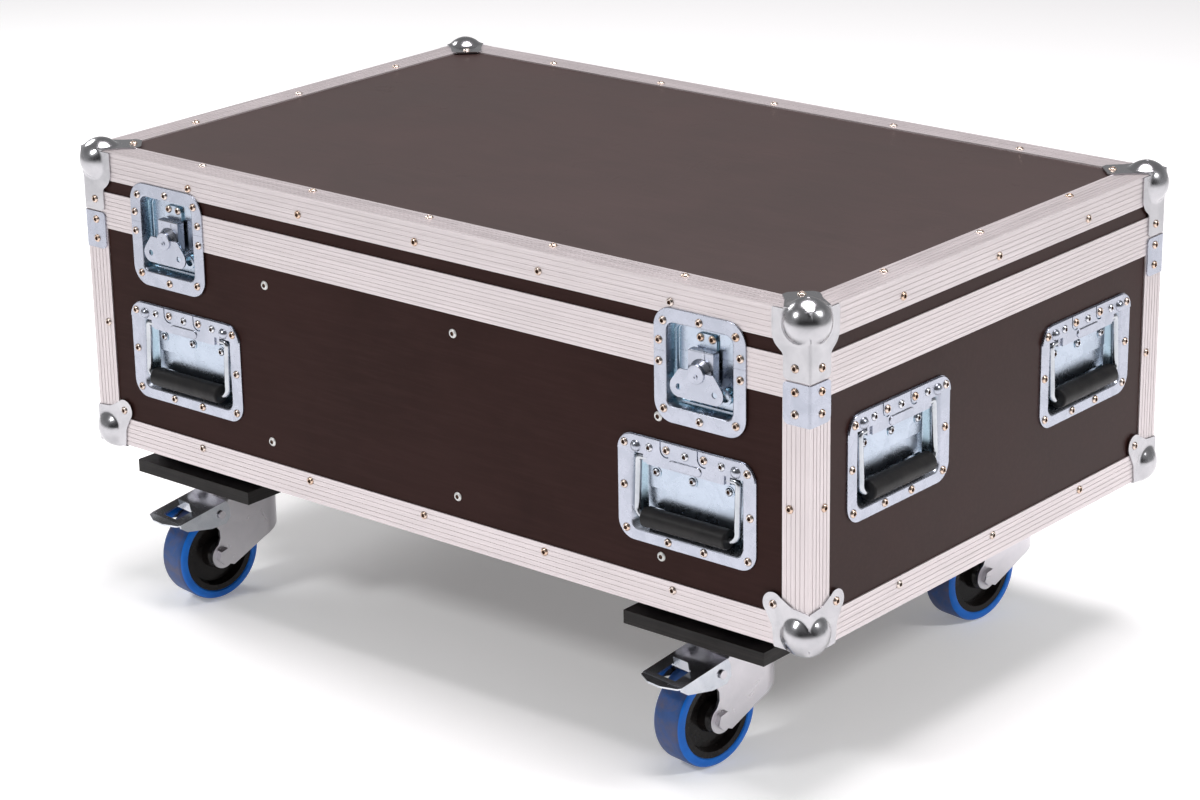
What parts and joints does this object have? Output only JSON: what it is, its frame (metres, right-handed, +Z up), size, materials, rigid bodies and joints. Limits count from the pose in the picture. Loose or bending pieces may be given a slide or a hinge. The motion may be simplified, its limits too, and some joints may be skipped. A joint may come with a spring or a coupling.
{
  "type": "wheeled transport case",
  "caption": "Long brown plywood transport case with aluminium edges, ball corners, butterfly latches, recessed spring handles and blue swivel casters.",
  "frame": {"origin": "on the floor, under the centre of the case body", "axes": "+X right along the long side as seen from the latch side, +Z up, latch side towards -Y"},
  "size_m": [0.949, 0.634, 0.4825],
  "materials": {
    "brown_ply": "smooth phenolic film",
    "aluminium": "satin, fine ribs",
    "zinc_steel": "bright zinc",
    "bright_zinc": "polished",
    "black_rubber": "matte",
    "black_board": "black film",
    "black_plastic": "moulded",
    "blue_tyre": "elastic rubber"
  },
  "bodies": {
    "case_base": {"bottom_panel": "brown_ply", "front_panel": "brown_ply", "back_panel": "brown_ply", "left_panel": "brown_ply", "right_panel": "brown_ply", "interior_dividers": "brown_ply", "base_edge_profiles": "aluminium", "base_closing_rails": "aluminium", "base_ball_corners": "bright_zinc", "base_corner_braces": "zinc_steel", "base_rivets": "zinc_steel", "divider_bolts": "zinc_steel", "hinge_base_leaves": "zinc_steel", "hinge_pins": "zinc_steel", "wheel_boards": "black_board", "caster_top_plates": "zinc_steel", "caster_plate_bolts": "zinc_steel", "latch_base_dishes": "zinc_steel", "handle_dishes": "zinc_steel", "handle_cover_plates": "zinc_steel", "handle_plate_rivets": "zinc_steel"},
    "lid": {"lid_top_panel": "brown_ply", "lid_long_panels": "brown_ply", "lid_end_panels": "brown_ply", "lid_edge_profiles": "aluminium", "lid_closing_rails": "aluminium", "lid_ball_corners": "bright_zinc", "lid_rivets": "zinc_steel", "hinge_lid_leaves": "zinc_steel", "latch_lid_dishes": "zinc_steel"},
    "handle_front_left": {"bail_front_left": "zinc_steel", "grip_front_left": "black_rubber"},
    "handle_front_right": {"bail_front_right": "zinc_steel", "grip_front_right": "black_rubber"},
    "handle_right_front": {"bail_right_front": "zinc_steel", "grip_right_front": "black_rubber"},
    "handle_right_rear": {"bail_right_rear": "zinc_steel", "grip_right_rear": "black_rubber"},
    "handle_left_rear": {"bail_left_rear": "zinc_steel", "grip_left_rear": "black_rubber"},
    "handle_left_front": {"bail_left_front": "zinc_steel", "grip_left_front": "black_rubber"},
    "latch_key_left": {"latch_key_left": "zinc_steel"},
    "latch_hook_left": {"latch_hook_left": "zinc_steel"},
    "latch_key_right": {"latch_key_right": "zinc_steel"},
    "latch_hook_right": {"latch_hook_right": "zinc_steel"},
    "caster_front_left": {"caster_fork_front_left": "zinc_steel"},
    "wheel_front_left": {"wheel_rim_front_left": "black_plastic", "tyre_front_left": "blue_tyre"},
    "brake_front_left": {"brake_pedal_front_left": "zinc_steel"},
    "caster_front_right": {"caster_fork_front_right": "zinc_steel"},
    "wheel_front_right": {"wheel_rim_front_right": "black_plastic", "tyre_front_right": "blue_tyre"},
    "brake_front_right": {"brake_pedal_front_right": "zinc_steel"},
    "caster_rear_left": {"caster_fork_rear_left": "zinc_steel"},
    "wheel_rear_left": {"wheel_rim_rear_left": "black_plastic", "tyre_rear_left": "blue_tyre"},
    "caster_rear_right": {"caster_fork_rear_right": "zinc_steel"},
    "wheel_rear_right": {"wheel_rim_rear_right": "black_plastic", "tyre_rear_right": "blue_tyre"}
  },
  "joints": [
    {"name": "lid_hinge", "type": "hinge", "parent": "case_base", "child": "lid", "pos_m": [0, 0.299, 0.4074], "axis": [-1, 0, 0], "range_deg": [0, 100]},
    {"name": "handle_swing_front_left", "type": "hinge", "parent": "case_base", "child": "handle_front_left", "pos_m": [-0.3266, -0.2891, 0.2988], "axis": [-1, 0, 0], "range_deg": [0, 90]},
    {"name": "handle_swing_front_right", "type": "hinge", "parent": "case_base", "child": "handle_front_right", "pos_m": [0.3266, -0.2891, 0.2988], "axis": [-1, 0, 0], "range_deg": [0, 90]},
    {"name": "handle_swing_right_front", "type": "hinge", "parent": "case_base", "child": "handle_right_front", "pos_m": [0.4616, -0.1565, 0.3408], "axis": [0, -1, 0], "range_deg": [0, 90]},
    {"name": "handle_swing_right_rear", "type": "hinge", "parent": "case_base", "child": "handle_right_rear", "pos_m": [0.4616, 0.1565, 0.3408], "axis": [0, -1, 0], "range_deg": [0, 90]},
    {"name": "handle_swing_left_rear", "type": "hinge", "parent": "case_base", "child": "handle_left_rear", "pos_m": [-0.4616, 0.1565, 0.3408], "axis": [0, 1, 0], "range_deg": [0, 90]},
    {"name": "handle_swing_left_front", "type": "hinge", "parent": "case_base", "child": "handle_left_front", "pos_m": [-0.4616, -0.1565, 0.3408], "axis": [0, 1, 0], "range_deg": [0, 90]},
    {"name": "latch_turn_left", "type": "hinge", "parent": "case_base", "child": "latch_key_left", "pos_m": [-0.3437, -0.2925, 0.3948], "axis": [0, -1, 0], "range_deg": [0, 180]},
    {"name": "latch_lift_left", "type": "slide", "parent": "case_base", "child": "latch_hook_left", "axis": [0, 0, 1], "range_m": [0, 0.004]},
    {"name": "latch_turn_right", "type": "hinge", "parent": "case_base", "child": "latch_key_right", "pos_m": [0.3437, -0.2925, 0.3948], "axis": [0, -1, 0], "range_deg": [0, 180]},
    {"name": "latch_lift_right", "type": "slide", "parent": "case_base", "child": "latch_hook_right", "axis": [0, 0, 1], "range_m": [0, 0.004]},
    {"name": "swivel_front_left", "type": "hinge", "parent": "case_base", "child": "caster_front_left", "pos_m": [-0.331, -0.22, 0.12], "axis": [0, 0, 1], "continuous": true},
    {"name": "roll_front_left", "type": "hinge", "parent": "caster_front_left", "child": "wheel_front_left", "pos_m": [-0.3374, -0.26555, 0.05], "axis": [0.9903, -0.1392, 0], "continuous": true},
    {"name": "brake_press_front_left", "type": "hinge", "parent": "caster_front_left", "child": "brake_front_left", "pos_m": [-0.33768, -0.26753, 0.097], "axis": [0.9903, -0.1392, 0], "range_deg": [0, 8]},
    {"name": "swivel_front_right", "type": "hinge", "parent": "case_base", "child": "caster_front_right", "pos_m": [0.331, -0.22, 0.12], "axis": [0, 0, 1], "continuous": true},
    {"name": "roll_front_right", "type": "hinge", "parent": "caster_front_right", "child": "wheel_front_right", "pos_m": [0.3246, -0.26555, 0.05], "axis": [0.9903, -0.1392, 0], "continuous": true},
    {"name": "brake_press_front_right", "type": "hinge", "parent": "caster_front_right", "child": "brake_front_right", "pos_m": [0.32432, -0.26753, 0.097], "axis": [0.9903, -0.1392, 0], "range_deg": [0, 8]},
    {"name": "swivel_rear_left", "type": "hinge", "parent": "case_base", "child": "caster_rear_left", "pos_m": [-0.331, 0.22, 0.12], "axis": [0, 0, 1], "continuous": true},
    {"name": "roll_rear_left", "type": "hinge", "parent": "caster_rear_left", "child": "wheel_rear_left", "pos_m": [-0.3374, 0.17445, 0.05], "axis": [0.9903, -0.1392, 0], "continuous": true},
    {"name": "swivel_rear_right", "type": "hinge", "parent": "case_base", "child": "caster_rear_right", "pos_m": [0.331, 0.22, 0.12], "axis": [0, 0, 1], "continuous": true},
    {"name": "roll_rear_right", "type": "hinge", "parent": "caster_rear_right", "child": "wheel_rear_right", "pos_m": [0.3246, 0.17445, 0.05], "axis": [0.9903, -0.1392, 0], "continuous": true}
  ],
  "couplings": [
    {"joint": "latch_lift_left", "follows": "latch_turn_left", "m_per_rad": 0.0012701},
    {"joint": "latch_lift_right", "follows": "latch_turn_right", "m_per_rad": 0.0012701}
  ]
}
